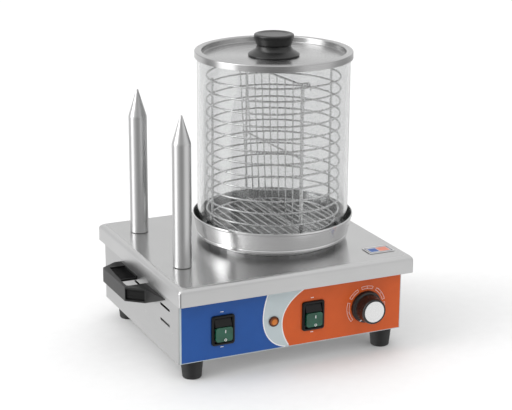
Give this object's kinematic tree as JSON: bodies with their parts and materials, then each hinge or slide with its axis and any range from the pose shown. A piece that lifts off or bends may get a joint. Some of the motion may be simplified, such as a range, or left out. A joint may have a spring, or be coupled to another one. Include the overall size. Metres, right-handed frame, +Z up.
{
  "type": "hot dog steamer",
  "caption": "Counter-top hot dog steamer: glass cylinder with a wire basket and lid on a water pan, heated bun spikes, a steel base with rocker switches, lamp and dial, and side handles.",
  "frame": {"origin": "middle of the bounding box, on the surface that the feet stand on", "axes": "+X to the right along the front, +Y from the front to the back, +Z up along the glass cylinder"},
  "size_m": [0.3776, 0.3058, 0.405],
  "materials": {
    "brushed_steel": "brushed stainless sheet",
    "deck_steel": "finely brushed, nearly mirror",
    "spike_aluminium": "turned and polished",
    "dark_steel": "heat-darkened",
    "screw_steel": "plain",
    "wire_steel": "polished wire",
    "black_plastic": "satin black",
    "rubber": "matt black",
    "clear_glass": "clear",
    "panel_label": "satin printed film in blue, white and orange",
    "green_lens": "translucent green",
    "amber_lens": "translucent amber",
    "lamp_metal": "plated ring",
    "cap_aluminium": "spun face",
    "badge_metal": "printed plate",
    "ceramic": "unglazed",
    "brass": "drawn tube"
  },
  "bodies": {
    "body": {"badge": "badge_metal", "base_tray": "brushed_steel", "body_wrap": "brushed_steel", "cord_gland": "black_plastic", "deck": "deck_steel", "foot_front_left": "rubber", "foot_front_right": "rubber", "foot_rear_left": "rubber", "foot_rear_right": "rubber", "foot_screw_front_left": "screw_steel", "foot_screw_front_right": "screw_steel", "foot_screw_rear_left": "screw_steel", "foot_screw_rear_right": "screw_steel", "front_label": "panel_label", "gland_nut": "black_plastic", "handle_left": "black_plastic", "handle_right": "black_plastic", "handle_screw_left_front": "screw_steel", "handle_screw_left_rear": "screw_steel", "handle_screw_right_front": "screw_steel", "handle_screw_right_rear": "screw_steel", "heater_nut": "screw_steel", "heater_plate": "dark_steel", "heater_stud": "screw_steel", "lamp_bezel": "lamp_metal", "lamp_lens": "amber_lens", "pan_heater": "dark_steel", "pan_ring": "dark_steel", "rear_panel": "brushed_steel", "spike_1": "spike_aluminium", "spike_2": "spike_aluminium", "spike_heater_1": "dark_steel", "spike_heater_2": "dark_steel", "spike_nut_1": "screw_steel", "spike_nut_2": "screw_steel", "switch_housing_1": "black_plastic", "switch_housing_2": "black_plastic", "terminal_block": "ceramic", "thermal_cutout": "ceramic", "thermostat_body": "dark_steel", "thermostat_sensor": "brass", "water_pan": "brushed_steel"},
    "glass": {"glass_cylinder": "clear_glass"},
    "basket": {"basket": "wire_steel", "basket_floor": "wire_steel", "basket_divider": "wire_steel"},
    "lid": {"lid": "brushed_steel", "lid_knob": "black_plastic", "knob_screw": "screw_steel"},
    "rocker_left": {"rocker_1": "black_plastic", "rocker_lens_1": "green_lens"},
    "rocker_right": {"rocker_2": "black_plastic", "rocker_lens_2": "green_lens"},
    "dial": {"dial_knob": "black_plastic", "dial_cap": "cap_aluminium", "thermostat_shaft": "screw_steel"}
  },
  "joints": [
    {"name": "glass_lift", "type": "slide", "parent": "body", "child": "glass", "axis": [0, 0, 1], "range_m": [0, 0.03]},
    {"name": "basket_lift", "type": "slide", "parent": "glass", "child": "basket", "axis": [0, 0, 1], "range_m": [0, 0.25]},
    {"name": "lid_lift", "type": "slide", "parent": "basket", "child": "lid", "axis": [0, 0, 1], "range_m": [0, 0.06]},
    {"name": "rocker_left_turn", "type": "hinge", "parent": "body", "child": "rocker_left", "pos_m": [-0.0985, -0.1282, 0.062], "axis": [1, 0, 0], "range_deg": [0, 18]},
    {"name": "rocker_right_turn", "type": "hinge", "parent": "body", "child": "rocker_right", "pos_m": [0.0275, -0.1282, 0.062], "axis": [1, 0, 0], "range_deg": [0, 18]},
    {"name": "dial_turn", "type": "hinge", "parent": "body", "child": "dial", "pos_m": [0.105, -0.1297, 0.062], "axis": [0, 1, 0], "range_deg": [0, 270]}
  ]
}
